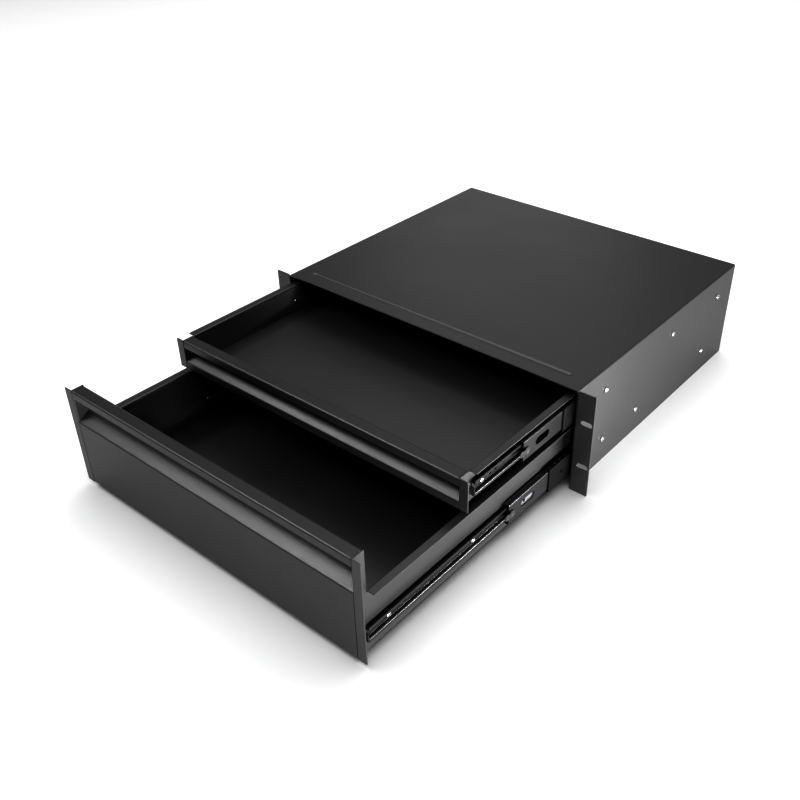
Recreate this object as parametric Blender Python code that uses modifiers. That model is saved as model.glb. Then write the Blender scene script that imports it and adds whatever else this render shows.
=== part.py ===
"""A 3U rack unit with two drawers on ball-bearing slides, one drawer behind the other's tall front.

Metres, +Z up, drawers opening towards -Y. Every piece is drawn with both drawers shut, X = 0 in
the middle, Y = 0 at the front of the rack ears and Z = 0 at their foot. An empty on each joint's
axis carries the moving pieces to where the drawers stand open, and one more empty carries the
whole unit, so that the origin is under the middle of its box.
"""
import math

import bmesh
import bpy
from mathutils import Vector

# Rack and case
RACK_WIDTH = 0.4826
RACK_UNIT_HEIGHT = 0.1325
CASE_WIDTH = 0.4384
CASE_DEPTH = 0.388
CASE_SHEET = 0.0015
CASE_BEND = 0.0014
SIDE_FOOT = 0.001
EAR_OVERLAP = 0.0004
SLOT_SPACING_X = 0.4651
SLOT_SPACING_Z = 0.05715
SLOT_LENGTH = 0.014
SLOT_HEIGHT = 0.007
BEAD_END_SETBACK = 0.0212
BEAD_WIDTH = 0.008
BEAD_DEPTH = 0.0012
BEAD_SETBACK = 0.022
REAR_LIP = 0.012
REAR_GAP = 0.0006

# Drawers
DRAWER_SHEET = 0.0012
DRAWER_BEND = 0.0018
REAR_SPACE = 0.036
SIDE_LIP = 0.0083
FRONT_STRIP = 0.0102
FRONT_CAP_DEPTH = 0.0155
FRONT_LIP_HEIGHT = 0.0095
FRONT_SLOPE_RISE = 0.0088
TRAY_TURN_UP = 0.006
LOWER_FOOT = 0.0062
LOWER_FRONT_FOOT = 0.0074
LOWER_FLOOR = 0.0086
LOWER_SIDE_TOP = 0.081
LOWER_FACE_TOP = 0.089
UPPER_FOOT = 0.0864
UPPER_FRONT_FOOT = 0.0866
UPPER_FLOOR = 0.0868
UPPER_FACE_TOP = 0.095
UPPER_TOP = 0.1238
UPPER_REAR_SPACE = 0.020
FRONT_GAP = 0.0025
TOP_GAP = 0.001

# Slides
SLIDE_SPACE = 0.0127
SLIDE_REAR_SPACE = 0.010
INNER_SHORTER_BY = 0.020
SLIDE_STEEL = 0.0011
OUTER_HALF = 0.0175
MIDDLE_HALF = 0.013
INNER_HALF = 0.009
SLIDE_BEND = 0.0016
OUTER_EDGE = 0.004
MIDDLE_EDGE = 0.0022
MIDDLE_SPACE = 0.002
INNER_SPACE = 0.0009
INNER_NOSE = 0.007
LOWER_SLIDE_Z = 0.033
UPPER_SLIDE_Z = 0.103
LOWER_SLIDE_START = 0.010
UPPER_SLIDE_START = 0.028
UPPER_INNER_START = 0.036
CAGE_STEEL = 0.0005
CAGE_LENGTH = 0.096
OUTER_CAGE_SPACE = 0.00175
OUTER_CAGE_EDGE = 0.005
OUTER_BALL_REACH = 0.0065
INNER_CAGE_SPACE = 0.0016
INNER_CAGE_EDGE = 0.003
INNER_BALL_REACH = 0.0042
OUTER_CAGE_START = 0.012
INNER_CAGE_START = 0.112
BALLS_IN_A_ROW = 4
BALL_CLEARANCE = 0.0003
WINDOW_START = 0.022
WINDOW_LENGTH = 0.025
WINDOW_HEIGHT = 0.009
BUMPER_RADIUS = 0.0045
BUMPER_THICKNESS = 0.0014
FRONT_PAD_RADIUS = 0.004
FRONT_PAD_THICKNESS = 0.0012
BUMPER_BRIDGE_HALF = 0.0027
BUMPER_BRIDGE_INSET = 0.0002

# Screws
CASE_SCREW_HEAD = 0.0035
CASE_SCREW_HEAD_HEIGHT = 0.0018
CASE_SCREW_SHANK = 0.0019
INNER_SCREW_HEAD = 0.003
INNER_SCREW_HEAD_HEIGHT = 0.0016
INNER_SCREW_SHANK = 0.0017
HOLE_CLEARANCE = 0.0005
LOWER_FRONT_SCREWS = (0.055, 0.133)
UPPER_FRONT_SCREWS = (0.033, 0.192)
LOWER_REAR_SCREW_SETBACK = 0.041
UPPER_REAR_SCREW_SETBACK = 0.034
LOWER_INNER_SCREWS = (0.030, 0.158)
UPPER_INNER_SCREWS = (0.015, 0.160)
INNER_HOLES = (0.015, 0.024)
INNER_HOLE_RADIUS = 0.0018
SCREW_TIP = 0.0015

# Where the drawers stand, and how far each slide's middle member and cages go for each of them
LOWER_OUT = 0.3334
UPPER_SHARE = 0.6116
LOWER_MIDDLE_SHARE = 0.366
UPPER_MIDDLE_SHARE = 0.5836

# Fits that follow from the sizes above
GAP = 0.0003
CASE_INSIDE = CASE_WIDTH / 2 - CASE_SHEET
DRAWER_SIDE = CASE_INSIDE - SLIDE_SPACE
FRONT_HALF = DRAWER_SIDE - DRAWER_SHEET - GAP
LOWER_TOP = RACK_UNIT_HEIGHT - CASE_SHEET - TOP_GAP
UPPER_START = FRONT_CAP_DEPTH + FRONT_GAP
DRAWER_DEPTH = CASE_DEPTH - REAR_SPACE
UPPER_DRAWER_DEPTH = CASE_DEPTH - UPPER_START - UPPER_REAR_SPACE
SLIDE_LENGTH = CASE_DEPTH - UPPER_SLIDE_START - SLIDE_REAR_SPACE
INNER_LENGTH = SLIDE_LENGTH - INNER_SHORTER_BY
OUTER_WEB = SLIDE_SPACE - GAP - SLIDE_STEEL / 2
OUTER_CAGE_WEB = OUTER_WEB - OUTER_CAGE_SPACE
MIDDLE_WEB = OUTER_CAGE_WEB - MIDDLE_SPACE
INNER_CAGE_WEB = MIDDLE_WEB - INNER_CAGE_SPACE
INNER_EDGE = INNER_CAGE_WEB - INNER_SPACE
BEAD_LENGTH = CASE_WIDTH - 2 * BEAD_END_SETBACK
LOWER_CASE_SCREWS = (*LOWER_FRONT_SCREWS, SLIDE_LENGTH - LOWER_REAR_SCREW_SETBACK)
UPPER_CASE_SCREWS = (*UPPER_FRONT_SCREWS, SLIDE_LENGTH - UPPER_REAR_SCREW_SETBACK)
UPPER_OUT = LOWER_OUT * UPPER_SHARE
RACK_PLANE_Y = -(CASE_DEPTH - LOWER_OUT) / 2
LEVELS = {
    "lower": {
        "foot": LOWER_FOOT, "front_foot": LOWER_FRONT_FOOT, "floor": LOWER_FLOOR,
        "side_top": LOWER_SIDE_TOP, "face_top": LOWER_FACE_TOP, "top": LOWER_TOP,
        "start": 0.0, "depth": DRAWER_DEPTH, "out": LOWER_OUT, "slide_z": LOWER_SLIDE_Z,
        "slide_start": LOWER_SLIDE_START, "inner_start": LOWER_SLIDE_START,
        "middle_share": LOWER_MIDDLE_SHARE, "case_screws": LOWER_CASE_SCREWS,
        "inner_screws": LOWER_INNER_SCREWS,
    },
    "upper": {
        "foot": UPPER_FOOT, "front_foot": UPPER_FRONT_FOOT, "floor": UPPER_FLOOR,
        "side_top": UPPER_TOP, "face_top": UPPER_FACE_TOP, "top": UPPER_TOP,
        "start": UPPER_START, "depth": UPPER_DRAWER_DEPTH, "out": UPPER_OUT, "slide_z": UPPER_SLIDE_Z,
        "slide_start": UPPER_SLIDE_START, "inner_start": UPPER_INNER_START,
        "middle_share": UPPER_MIDDLE_SHARE, "case_screws": UPPER_CASE_SCREWS,
        "inner_screws": UPPER_INNER_SCREWS,
    },
}
SIDES = {"right": 1, "left": -1}


def clear_scene():
    for item in list(bpy.data.objects):
        bpy.data.objects.remove(item, do_unlink=True)


def new_collection(name):
    collection = bpy.data.collections.new(name)
    bpy.context.scene.collection.children.link(collection)
    return collection


def finish(name, colour, roughness, metallic):
    material = bpy.data.materials.new(name)
    material.use_nodes = True
    shader = material.node_tree.nodes["Principled BSDF"]
    shader.inputs["Base Color"].default_value = (*colour, 1.0)
    shader.inputs["Roughness"].default_value = roughness
    shader.inputs["Metallic"].default_value = metallic
    return material


def add_object(name, mesh, collection, material=None, carrier=None):
    item = bpy.data.objects.new(name, mesh)
    collection.objects.link(item)
    if material:
        mesh.materials.append(material)
    if carrier:
        item.parent = carrier
    return item


def mesh_from(name, build):
    mesh = bpy.data.meshes.new(name)
    shape = bmesh.new()
    build(shape)
    shape.to_mesh(mesh)
    shape.free()
    return mesh


def block_mesh(name, low, high):
    def build(shape):
        bmesh.ops.create_cube(shape, size=1.0)
        size = Vector(high) - Vector(low)
        bmesh.ops.scale(shape, vec=size, verts=shape.verts)
        bmesh.ops.translate(shape, vec=(Vector(low) + Vector(high)) / 2, verts=shape.verts)
    return mesh_from(name, build)


def rod_mesh(name, centre, axis, radius, length, segments=12):
    def build(shape):
        bmesh.ops.create_cone(shape, cap_ends=True, segments=segments, radius1=radius, radius2=radius,
                              depth=length)
        turn = Vector((0, 0, 1)).rotation_difference(Vector(axis)).to_matrix()
        bmesh.ops.rotate(shape, matrix=turn, verts=shape.verts)
        bmesh.ops.translate(shape, vec=Vector(centre), verts=shape.verts)
    return mesh_from(name, build)


def ball_mesh(name, centres, radius):
    def build(shape):
        for centre in centres:
            ball = bmesh.ops.create_uvsphere(shape, u_segments=6, v_segments=4, radius=radius)
            bmesh.ops.translate(shape, vec=Vector(centre), verts=ball["verts"])
    return mesh_from(name, build)


def rounded(points, radius, steps=3):
    """The same outline with each inner corner turned on an arc, as a press brake leaves it."""
    path = [Vector(points[0])]
    for before, corner, after in zip(points, points[1:], points[2:]):
        corner = Vector(corner)
        back = (Vector(before) - corner).normalized()
        ahead = (Vector(after) - corner).normalized()
        half = back.angle(ahead) / 2
        reach = radius / math.tan(half)
        centre = corner + (back + ahead).normalized() * radius / math.sin(half)
        first = (corner + back * reach - centre).normalized()
        last = (corner + ahead * reach - centre).normalized()
        for step in range(steps + 1):
            path.append(centre + radius * first.slerp(last, step / steps))
    path.append(Vector(points[-1]))
    return path


def folded_sheet(name, points, radius, run, thickness, collection, material, carrier=None):
    """Sheet metal: the middle line of its section, bent at each corner and drawn out along run."""
    def build(shape):
        corners = [shape.verts.new(point) for point in rounded(points, radius)]
        edges = [shape.edges.new(pair) for pair in zip(corners, corners[1:])]
        drawn = bmesh.ops.extrude_edge_only(shape, edges=edges)
        moved = [item for item in drawn["geom"] if isinstance(item, bmesh.types.BMVert)]
        bmesh.ops.translate(shape, vec=Vector(run), verts=moved)
    item = add_object(name, mesh_from(name, build), collection, material, carrier)
    wall = item.modifiers.new("Thickness", "SOLIDIFY")
    wall.thickness = thickness
    wall.offset = 0.0
    wall.use_even_offset = True
    return item


def combine(item, mesh, operation, tools):
    """Joins or cuts with a hidden helper that has the same parent, and so the same place."""
    helper = add_object(item.name + "_" + mesh.name, mesh, tools, carrier=item.parent)
    helper.hide_render = True
    helper.display_type = "WIRE"
    change = item.modifiers.new(mesh.name, "BOOLEAN")
    change.operation = operation
    change.solver = "EXACT"
    change.object = helper
    return item


def carrier_empty(name, collection, y, carrier=None):
    empty = bpy.data.objects.new(name, None)
    empty.location = (0, y, 0)
    empty.parent = carrier
    collection.objects.link(empty)
    return empty


def low_high(side, near, far):
    """The two x values of a span that runs from near to far on one side of the unit."""
    return sorted((side * near, side * far))


def side_block(name, side, near, far, y_span, z_span):
    x_low, x_high = low_high(side, near, far)
    return block_mesh(name, (x_low, y_span[0], z_span[0]), (x_high, y_span[1], z_span[1]))


def case_shell(parts, tools, paint, unit):
    half = CASE_WIDTH / 2 - CASE_SHEET / 2
    top = RACK_UNIT_HEIGHT - CASE_SHEET / 2
    front = EAR_OVERLAP
    section = [(half, front, SIDE_FOOT), (half, front, top), (-half, front, top), (-half, front, SIDE_FOOT)]
    shell = folded_sheet("case_shell", section, CASE_BEND, (0, CASE_DEPTH - front, 0), CASE_SHEET, parts,
                         paint, unit)
    for label, side in SIDES.items():
        ear = side_block(label + "_ear", side, CASE_INSIDE + EAR_OVERLAP, RACK_WIDTH / 2, (0, CASE_SHEET),
                         (0, RACK_UNIT_HEIGHT - EAR_OVERLAP))
        combine(shell, ear, "UNION", tools)
    top_face = RACK_UNIT_HEIGHT
    reach = BEAD_LENGTH / 2 - BEAD_WIDTH / 2
    under = top_face - CASE_SHEET
    pressing = block_mesh("bead_underside", (-reach, BEAD_SETBACK - BEAD_WIDTH / 2, under - BEAD_DEPTH),
                          (reach, BEAD_SETBACK + BEAD_WIDTH / 2, top_face - CASE_SHEET / 2))
    combine(shell, pressing, "UNION", tools)
    groove_half = BEAD_WIDTH / 2 - CASE_SHEET / 2
    groove = block_mesh("bead_groove", (-reach + CASE_SHEET / 2, BEAD_SETBACK - groove_half,
                                        top_face - BEAD_DEPTH),
                        (reach - CASE_SHEET / 2, BEAD_SETBACK + groove_half, top_face + BEAD_DEPTH))
    combine(shell, groove, "DIFFERENCE", tools)
    for label, side in SIDES.items():
        for place, step in (("lower", -0.5), ("upper", 0.5)):
            centre = (side * SLOT_SPACING_X / 2, 0, RACK_UNIT_HEIGHT / 2 + step * SLOT_SPACING_Z)
            combine(shell, slot_mesh(label + "_" + place + "_slot", centre), "DIFFERENCE", tools)
        for level, sizes in LEVELS.items():
            for number, depth in enumerate(sizes["case_screws"], 1):
                centre = (side * CASE_INSIDE, sizes["slide_start"] + depth, sizes["slide_z"])
                hole = rod_mesh(f"{label}_{level}_hole_{number}", centre, (1, 0, 0),
                                CASE_SCREW_SHANK + HOLE_CLEARANCE, 6 * CASE_SHEET)
                combine(shell, hole, "DIFFERENCE", tools)


def slot_mesh(name, centre, steps=8):
    """A slot with round ends, as a cutter that passes through the sheet."""
    radius = SLOT_HEIGHT / 2
    reach = (SLOT_LENGTH - SLOT_HEIGHT) / 2

    def build(shape):
        rim = []
        for end, first in ((1, -math.pi / 2), (-1, math.pi / 2)):
            for step in range(steps + 1):
                angle = first + math.pi * step / steps
                offset = (end * reach + radius * math.cos(angle), -3 * CASE_SHEET, radius * math.sin(angle))
                rim.append(shape.verts.new(Vector(centre) + Vector(offset)))
        face = shape.faces.new(rim)
        drawn = bmesh.ops.extrude_face_region(shape, geom=[face], use_keep_orig=True)
        moved = [item for item in drawn["geom"] if isinstance(item, bmesh.types.BMVert)]
        bmesh.ops.translate(shape, vec=(0, 6 * CASE_SHEET, 0), verts=moved)
        bmesh.ops.recalc_face_normals(shape, faces=shape.faces)
    return mesh_from(name, build)


def rear_panel(parts, paint, unit):
    back = CASE_DEPTH - CASE_SHEET / 2
    foot = CASE_SHEET / 2
    head = RACK_UNIT_HEIGHT - CASE_SHEET - REAR_GAP - CASE_SHEET / 2
    reach = CASE_INSIDE - REAR_GAP
    section = [(-reach, back - REAR_LIP, foot), (-reach, back, foot), (-reach, back, head),
               (-reach, back - REAR_LIP, head)]
    folded_sheet("rear_panel", section, CASE_BEND, (2 * reach, 0, 0), CASE_SHEET, parts, paint, unit)


def drawer_front(level, sizes, parts, paint, carrier):
    face = sizes["start"] + DRAWER_SHEET / 2
    back = sizes["start"] + FRONT_CAP_DEPTH - DRAWER_SHEET / 2
    cap = sizes["top"] - DRAWER_SHEET / 2
    section = [(-FRONT_HALF, face, sizes["top"] - FRONT_LIP_HEIGHT), (-FRONT_HALF, face, cap),
               (-FRONT_HALF, back, cap), (-FRONT_HALF, back, sizes["face_top"] + FRONT_SLOPE_RISE),
               (-FRONT_HALF, face, sizes["face_top"]), (-FRONT_HALF, face, sizes["front_foot"])]
    folded_sheet(level + "_drawer_front", section, DRAWER_BEND, (2 * FRONT_HALF, 0, 0), DRAWER_SHEET,
                 parts, paint, carrier)


def drawer_tray(level, sizes, parts, paint, carrier):
    """Floor and back of a drawer: one sheet that turns up behind the front and again at the rear."""
    floor = sizes["floor"] + DRAWER_SHEET / 2
    front = sizes["start"] + DRAWER_SHEET + GAP + DRAWER_SHEET / 2
    rear = sizes["start"] + sizes["depth"] - DRAWER_SHEET / 2
    rear_top = sizes["side_top"] - DRAWER_SHEET
    section = [(-FRONT_HALF, front, sizes["floor"] + TRAY_TURN_UP), (-FRONT_HALF, front, floor),
               (-FRONT_HALF, rear, floor), (-FRONT_HALF, rear, rear_top)]
    folded_sheet(level + "_drawer_tray", section, DRAWER_BEND / 2, (2 * FRONT_HALF, 0, 0), DRAWER_SHEET,
                 parts, paint, carrier)


def drawer_side(level, label, sizes, parts, tools, paint, carrier):
    """A side wall with its lip over the slide, a strip beside the front and a post behind that."""
    side = SIDES[label]
    start = sizes["start"]
    wall = side * (DRAWER_SIDE - DRAWER_SHEET / 2)
    lip_edge = side * (DRAWER_SIDE + SIDE_LIP)
    lip = sizes["side_top"] - DRAWER_SHEET / 2
    foot = sizes["floor"]
    from_y = start + FRONT_CAP_DEPTH - DRAWER_SHEET
    section = [(wall, from_y, foot), (wall, from_y, lip), (lip_edge, from_y, lip)]
    length = sizes["depth"] + start - from_y
    item = folded_sheet(f"{level}_drawer_{label}_side", section, DRAWER_BEND / 2, (0, length, 0),
                        DRAWER_SHEET, parts, paint, carrier)
    post = side_block("post", side, DRAWER_SIDE - DRAWER_SHEET, DRAWER_SIDE,
                      (start, start + FRONT_CAP_DEPTH), (sizes["foot"], sizes["top"]))
    combine(item, post, "UNION", tools)
    strip = side_block("strip", side, DRAWER_SIDE - DRAWER_SHEET / 2, DRAWER_SIDE + FRONT_STRIP,
                       (start, start + DRAWER_SHEET), (sizes["foot"], sizes["top"]))
    combine(item, strip, "UNION", tools)
    for number, place in enumerate(sizes["inner_screws"], 1):
        centre = (side * DRAWER_SIDE, sizes["inner_start"] + place, sizes["slide_z"])
        hole = rod_mesh(f"hole_{number}", centre, (1, 0, 0), INNER_SCREW_SHANK + HOLE_CLEARANCE,
                        6 * DRAWER_SHEET)
        combine(item, hole, "DIFFERENCE", tools)


def channel(name, side, web, edge, half, bend, y_start, length, steel, z, parts, paint, carrier):
    """A slide member or ball cage: a web across the slide and two lips turned towards its edge."""
    x_web = side * (DRAWER_SIDE + web)
    x_edge = side * (DRAWER_SIDE + edge)
    section = [(x_edge, y_start, z + half), (x_web, y_start, z + half), (x_web, y_start, z - half),
               (x_edge, y_start, z - half)]
    return folded_sheet(name, section, bend, (0, length, 0), steel, parts, paint, carrier)


def ball_row(member, side, reach, height, radius, y_start, z, tools):
    """Balls held in both lips of a cage."""
    step = CAGE_LENGTH / BALLS_IN_A_ROW
    centres = [(side * (DRAWER_SIDE + reach), y_start + (number + 0.5) * step, z + turn * height)
               for number in range(BALLS_IN_A_ROW) for turn in (-1, 1)]
    combine(member, ball_mesh("balls", centres, radius), "UNION", tools)


def nose_cut(side, web, edge, y_start, z):
    """Slants a member's front end back from its web to the edge of its lips."""
    near = Vector((side * (DRAWER_SIDE + web), y_start, z))
    far = Vector((side * (DRAWER_SIDE + edge), y_start + INNER_NOSE, z))
    ahead = (far - near).cross(Vector((0, 0, side))).normalized()
    size = 6 * INNER_NOSE

    def build(shape):
        bmesh.ops.create_cube(shape, size=size)
        turn = Vector((1, 0, 0)).rotation_difference(ahead).to_matrix()
        bmesh.ops.rotate(shape, matrix=turn, verts=shape.verts)
        bmesh.ops.translate(shape, vec=(near + far) / 2 + ahead * size / 2, verts=shape.verts)
    return mesh_from("nose", build)


def slide(level, label, sizes, parts, tools, black, zinc, rubber, carriers):
    side = SIDES[label]
    z = sizes["slide_z"]
    start = sizes["slide_start"]
    name = f"{level}_{label}_slide"
    outer = channel(name + "_outer", side, OUTER_WEB, OUTER_EDGE, OUTER_HALF - SLIDE_STEEL / 2,
                    SLIDE_BEND, start, SLIDE_LENGTH, SLIDE_STEEL, z, parts, black, carriers["case"])
    for number, depth in enumerate(sizes["case_screws"], 1):
        centre = (side * (DRAWER_SIDE + OUTER_WEB), start + depth, z)
        hole = rod_mesh(f"hole_{number}", centre, (1, 0, 0), CASE_SCREW_SHANK + HOLE_CLEARANCE,
                        4 * SLIDE_STEEL)
        combine(outer, hole, "DIFFERENCE", tools)

    middle = channel(name + "_middle", side, MIDDLE_WEB, MIDDLE_EDGE, MIDDLE_HALF - SLIDE_STEEL / 2,
                     SLIDE_BEND, start, SLIDE_LENGTH, SLIDE_STEEL, z, parts, black, carriers["middle"])
    window = side_block("window", side, DRAWER_SIDE + MIDDLE_WEB - SLIDE_STEEL,
                        DRAWER_SIDE + MIDDLE_WEB + SLIDE_STEEL,
                        (start + WINDOW_START, start + WINDOW_START + WINDOW_LENGTH),
                        (z - WINDOW_HEIGHT / 2, z + WINDOW_HEIGHT / 2))
    combine(middle, window, "DIFFERENCE", tools)

    inner_web = GAP + SLIDE_STEEL / 2
    inner_start = sizes["inner_start"]
    inner = channel(name + "_inner", side, inner_web, INNER_EDGE, INNER_HALF - SLIDE_STEEL / 2,
                    SLIDE_BEND / 2, inner_start, INNER_LENGTH, SLIDE_STEEL, z, parts, black,
                    carriers["drawer"])
    nose = nose_cut(side, inner_web + SLIDE_STEEL / 2, INNER_EDGE, inner_start, z)
    combine(inner, nose, "DIFFERENCE", tools)
    for number, place in enumerate(sizes["inner_screws"], 1):
        for step, radius in ((0, INNER_SCREW_SHANK + HOLE_CLEARANCE), (INNER_HOLES[0], INNER_HOLE_RADIUS),
                             (INNER_HOLES[1], INNER_HOLE_RADIUS)):
            centre = (side * (DRAWER_SIDE + inner_web), inner_start + place + step, z)
            hole = rod_mesh(f"hole_{number}_{round(step * 1000)}", centre, (1, 0, 0), radius,
                            4 * SLIDE_STEEL, 12)
            combine(inner, hole, "DIFFERENCE", tools)

    outer_race = (MIDDLE_HALF + OUTER_HALF - SLIDE_STEEL) / 2
    outer_ball = (OUTER_HALF - SLIDE_STEEL - MIDDLE_HALF) / 2 - BALL_CLEARANCE
    cage_start = start + OUTER_CAGE_START
    outer_cage = channel(name + "_outer_cage", side, OUTER_CAGE_WEB, OUTER_CAGE_EDGE, outer_race,
                         CAGE_STEEL, cage_start, CAGE_LENGTH, CAGE_STEEL, z, parts, black,
                         carriers["outer_cage"])
    ball_row(outer_cage, side, OUTER_BALL_REACH, outer_race, outer_ball, cage_start, z, tools)

    inner_race = (INNER_HALF + MIDDLE_HALF - SLIDE_STEEL) / 2
    inner_ball = (MIDDLE_HALF - SLIDE_STEEL - INNER_HALF) / 2 - BALL_CLEARANCE
    cage_start = start + INNER_CAGE_START
    inner_cage = channel(name + "_inner_cage", side, INNER_CAGE_WEB, INNER_CAGE_EDGE, inner_race,
                         CAGE_STEEL, cage_start, CAGE_LENGTH, CAGE_STEEL, z, parts, zinc,
                         carriers["inner_cage"])
    ball_row(inner_cage, side, INNER_BALL_REACH, inner_race, inner_ball, cage_start, z, tools)

    bumper(name + "_bumper", side, MIDDLE_WEB + SLIDE_STEEL / 2 + GAP, start, z, parts, tools, rubber,
           carriers["middle"])


def bumper(name, side, near, start, z, parts, tools, rubber, carrier):
    """The stop at the front end of a middle member: two round pads joined by a bridge."""
    reach = side * (DRAWER_SIDE + near + BUMPER_THICKNESS / 2)
    ahead = start - BUMPER_RADIUS + GAP
    behind = start + BUMPER_RADIUS + GAP
    pad = rod_mesh(name, (reach, behind, z), (1, 0, 0), BUMPER_RADIUS, BUMPER_THICKNESS, 20)
    item = add_object(name, pad, parts, rubber, carrier)
    bridge = side_block("bridge", side, DRAWER_SIDE + near + BUMPER_BRIDGE_INSET,
                        DRAWER_SIDE + near + BUMPER_THICKNESS - BUMPER_BRIDGE_INSET, (ahead, behind),
                        (z - BUMPER_BRIDGE_HALF, z + BUMPER_BRIDGE_HALF))
    combine(item, bridge, "UNION", tools)
    front_pad = rod_mesh("front_pad", (reach, ahead, z), (1, 0, 0), FRONT_PAD_RADIUS,
                         FRONT_PAD_THICKNESS, 20)
    combine(item, front_pad, "UNION", tools)


def case_screws(level, label, sizes, parts, tools, zinc, unit):
    side = SIDES[label]
    seat = CASE_WIDTH / 2 + GAP
    tip = CASE_INSIDE - GAP - SLIDE_STEEL - GAP
    for number, depth in enumerate(sizes["case_screws"], 1):
        y = sizes["slide_start"] + depth
        name = f"{level}_{label}_case_screw_{number}"
        head = rod_mesh(name, (side * (seat + CASE_SCREW_HEAD_HEIGHT / 2), y, sizes["slide_z"]), (1, 0, 0),
                        CASE_SCREW_HEAD, CASE_SCREW_HEAD_HEIGHT)
        item = add_object(name, head, parts, zinc, unit)
        middle = (seat + CASE_SCREW_HEAD_HEIGHT / 2 + tip) / 2
        length = seat + CASE_SCREW_HEAD_HEIGHT / 2 - tip
        shank = rod_mesh("shank", (side * middle, y, sizes["slide_z"]), (1, 0, 0), CASE_SCREW_SHANK, length)
        combine(item, shank, "UNION", tools)


def inner_screws(level, label, sizes, parts, tools, zinc, carrier):
    side = SIDES[label]
    seat = DRAWER_SIDE + GAP + SLIDE_STEEL + GAP
    tip = DRAWER_SIDE - DRAWER_SHEET - SCREW_TIP
    for number, place in enumerate(sizes["inner_screws"], 1):
        y = sizes["inner_start"] + place
        name = f"{level}_{label}_member_screw_{number}"
        head = rod_mesh(name, (side * (seat + INNER_SCREW_HEAD_HEIGHT / 2), y, sizes["slide_z"]),
                        (1, 0, 0), INNER_SCREW_HEAD, INNER_SCREW_HEAD_HEIGHT)
        item = add_object(name, head, parts, zinc, carrier)
        middle = (seat + INNER_SCREW_HEAD_HEIGHT / 2 + tip) / 2
        length = seat + INNER_SCREW_HEAD_HEIGHT / 2 - tip
        shank = rod_mesh("shank", (side * middle, y, sizes["slide_z"]), (1, 0, 0), INNER_SCREW_SHANK, length)
        combine(item, shank, "UNION", tools)


def slide_carriers(level, label, sizes, parts, drawer, unit):
    """Empties for the moving members; a cage goes at the mean of the two members it rolls between."""
    out = sizes["out"]
    middle = out * sizes["middle_share"]
    name = f"{level}_{label}_"
    return {
        "case": unit,
        "drawer": drawer,
        "middle": carrier_empty(name + "middle_motion", parts, -middle, unit),
        "outer_cage": carrier_empty(name + "outer_cage_motion", parts, -middle / 2, unit),
        "inner_cage": carrier_empty(name + "inner_cage_motion", parts, -(middle + out) / 2, unit),
    }


def build():
    clear_scene()
    parts = new_collection("rack_drawer_unit")
    tools = new_collection("cutters")
    paint = finish("black_powder_coat", (0.022, 0.022, 0.024), 0.48, 0.0)
    black = finish("black_slide_steel", (0.018, 0.018, 0.020), 0.35, 0.3)
    zinc = finish("zinc_plate", (0.62, 0.63, 0.64), 0.32, 1.0)
    rubber = finish("black_nylon", (0.03, 0.03, 0.03), 0.55, 0.0)
    unit = carrier_empty("rack_plane", parts, RACK_PLANE_Y)
    case_shell(parts, tools, paint, unit)
    rear_panel(parts, paint, unit)
    for level, sizes in LEVELS.items():
        drawer = carrier_empty(level + "_drawer_motion", parts, -sizes["out"], unit)
        drawer_front(level, sizes, parts, paint, drawer)
        drawer_tray(level, sizes, parts, paint, drawer)
        for label in SIDES:
            drawer_side(level, label, sizes, parts, tools, paint, drawer)
            carriers = slide_carriers(level, label, sizes, parts, drawer, unit)
            slide(level, label, sizes, parts, tools, black, zinc, rubber, carriers)
            case_screws(level, label, sizes, parts, tools, zinc, unit)
            inner_screws(level, label, sizes, parts, tools, zinc, drawer)


build()
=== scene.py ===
import math

import bmesh
import bpy
from mathutils import Matrix, Vector


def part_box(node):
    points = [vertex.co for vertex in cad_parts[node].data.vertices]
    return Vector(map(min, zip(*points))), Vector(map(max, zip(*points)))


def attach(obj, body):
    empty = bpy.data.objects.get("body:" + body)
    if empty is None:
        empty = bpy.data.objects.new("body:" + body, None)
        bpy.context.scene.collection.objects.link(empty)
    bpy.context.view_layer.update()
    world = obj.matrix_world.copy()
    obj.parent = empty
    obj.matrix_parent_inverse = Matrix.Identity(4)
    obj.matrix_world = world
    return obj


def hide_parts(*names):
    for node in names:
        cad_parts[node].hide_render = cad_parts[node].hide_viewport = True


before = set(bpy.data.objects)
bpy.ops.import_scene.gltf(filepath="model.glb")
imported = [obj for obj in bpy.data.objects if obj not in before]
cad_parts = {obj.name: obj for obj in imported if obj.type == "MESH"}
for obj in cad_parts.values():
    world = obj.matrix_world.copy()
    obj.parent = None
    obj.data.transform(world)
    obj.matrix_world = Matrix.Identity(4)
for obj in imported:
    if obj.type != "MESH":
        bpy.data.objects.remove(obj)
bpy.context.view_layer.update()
everything = bpy.context.scene.collection

# Camera: a normal lens on a tripod, above the right front corner of the open unit.
eye = bpy.data.cameras.new("camera")
eye.sensor_width = 36.0
eye.lens = 42.33
eye.shift_x = -0.0458
eye.shift_y = 0.0032
eye.clip_start = 0.01
camera = bpy.data.objects.new("camera", eye)
camera_turn, camera_tilt, camera_roll = math.radians(39.18), math.radians(90 - 34.20), math.radians(-0.28)
camera_place = (0.6251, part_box("case_shell")[0].y - 0.7348, 0.6804)
camera.matrix_world = (Matrix.Translation(camera_place)
                       @ Matrix.Rotation(camera_turn, 4, "Z")
                       @ Matrix.Rotation(camera_tilt, 4, "X")
                       @ Matrix.Rotation(camera_roll, 4, "Z"))
everything.objects.link(camera)
bpy.context.scene.camera = camera

# Studio: a white sheet of paper under the unit, lit by large softboxes and a pale room. The lamps
# that stand near the paper are kept off it, so they draw the black paint and leave the shadows soft.
bpy.context.scene.view_settings.view_transform = "Standard"
bpy.context.scene.view_settings.gamma = 0.6
paper_size = 14.0


def placed(name, data):
    """A new object for a mesh or a lamp, at the origin."""
    item = bpy.data.objects.new(name, data)
    everything.objects.link(item)
    return item


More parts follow.
